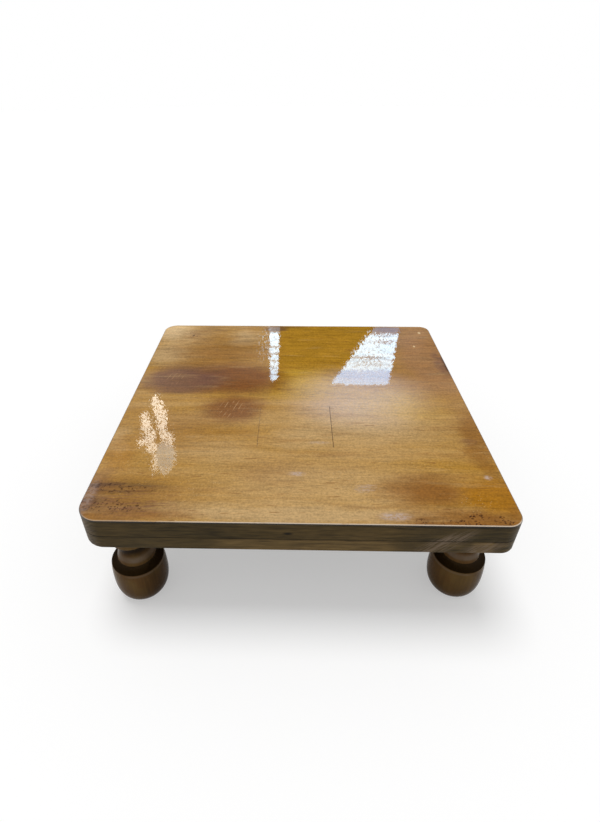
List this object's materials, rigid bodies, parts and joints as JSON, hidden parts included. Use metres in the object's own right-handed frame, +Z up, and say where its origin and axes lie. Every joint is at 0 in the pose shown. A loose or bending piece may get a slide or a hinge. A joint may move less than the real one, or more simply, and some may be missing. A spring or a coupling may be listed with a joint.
{
  "type": "low table",
  "caption": "Low square wooden table with a thick rounded-corner top on turned legs with round bowl-shaped feet, for sitting at or resting things on near the floor.",
  "frame": {"origin": "on the floor, under the middle of the square top", "axes": "+Z up, +X to the right and +Y to the back, with the front edge of the top towards -Y and the board grain along X"},
  "size_m": [0.457, 0.457, 0.152],
  "materials": {
    "top_wood": "glossy honey-brown lacquer over straight grain",
    "frame_wood": "dark olive-brown stain under lacquer",
    "leg_wood": "dark brown stain under glossy lacquer",
    "screw_steel": "plain zinc-plated steel"
  },
  "bodies": {
    "root": {"front_board": "top_wood", "jointed_board_left": "top_wood", "jointed_board_middle": "top_wood", "jointed_board_right": "top_wood", "middle_board": "top_wood", "back_board": "top_wood", "front_rail": "frame_wood", "back_rail": "frame_wood", "left_rail": "frame_wood", "right_rail": "frame_wood", "left_batten": "frame_wood", "right_batten": "frame_wood", "front_left_leg": "leg_wood", "front_right_leg": "leg_wood", "back_left_leg": "leg_wood", "back_right_leg": "leg_wood", "front_rail_screw_1": "screw_steel", "front_rail_screw_2": "screw_steel", "front_rail_screw_3": "screw_steel", "back_rail_screw_1": "screw_steel", "back_rail_screw_2": "screw_steel", "back_rail_screw_3": "screw_steel", "left_rail_screw_1": "screw_steel", "left_rail_screw_2": "screw_steel", "right_rail_screw_1": "screw_steel", "right_rail_screw_2": "screw_steel", "left_batten_screw_1": "screw_steel", "left_batten_screw_2": "screw_steel", "left_batten_screw_3": "screw_steel", "left_batten_screw_4": "screw_steel", "left_batten_screw_5": "screw_steel", "right_batten_screw_1": "screw_steel", "right_batten_screw_2": "screw_steel", "right_batten_screw_3": "screw_steel", "right_batten_screw_4": "screw_steel", "right_batten_screw_5": "screw_steel"}
  },
  "joints": []
}
